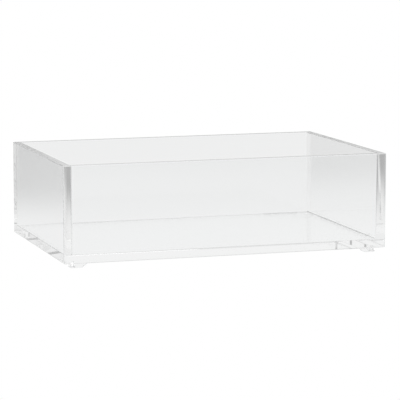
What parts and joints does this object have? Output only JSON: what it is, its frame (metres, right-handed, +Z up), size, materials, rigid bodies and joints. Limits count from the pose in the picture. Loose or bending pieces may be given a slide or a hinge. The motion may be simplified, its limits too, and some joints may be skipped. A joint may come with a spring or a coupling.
{
  "type": "stackable organizer tray",
  "caption": "Open-topped rectangular tray of thick clear acrylic, with mitred walls bonded to a base plate and low L-shaped corner feet that nest in the rim of a tray below.",
  "frame": {"origin": "middle of the footprint, at the bottom of the feet", "axes": "+X to the right along the width, -Y towards the front, +Z up through the open top"},
  "size_m": [0.21, 0.135, 0.0633],
  "materials": {
    "clear_acrylic": "water-clear acrylic, polished on every face and edge"
  },
  "bodies": {
    "root": {"front_panel": "clear_acrylic", "back_panel": "clear_acrylic", "left_panel": "clear_acrylic", "right_panel": "clear_acrylic", "base_panel": "clear_acrylic", "foot_front_left": "clear_acrylic", "foot_front_right": "clear_acrylic", "foot_rear_left": "clear_acrylic", "foot_rear_right": "clear_acrylic"}
  },
  "joints": []
}
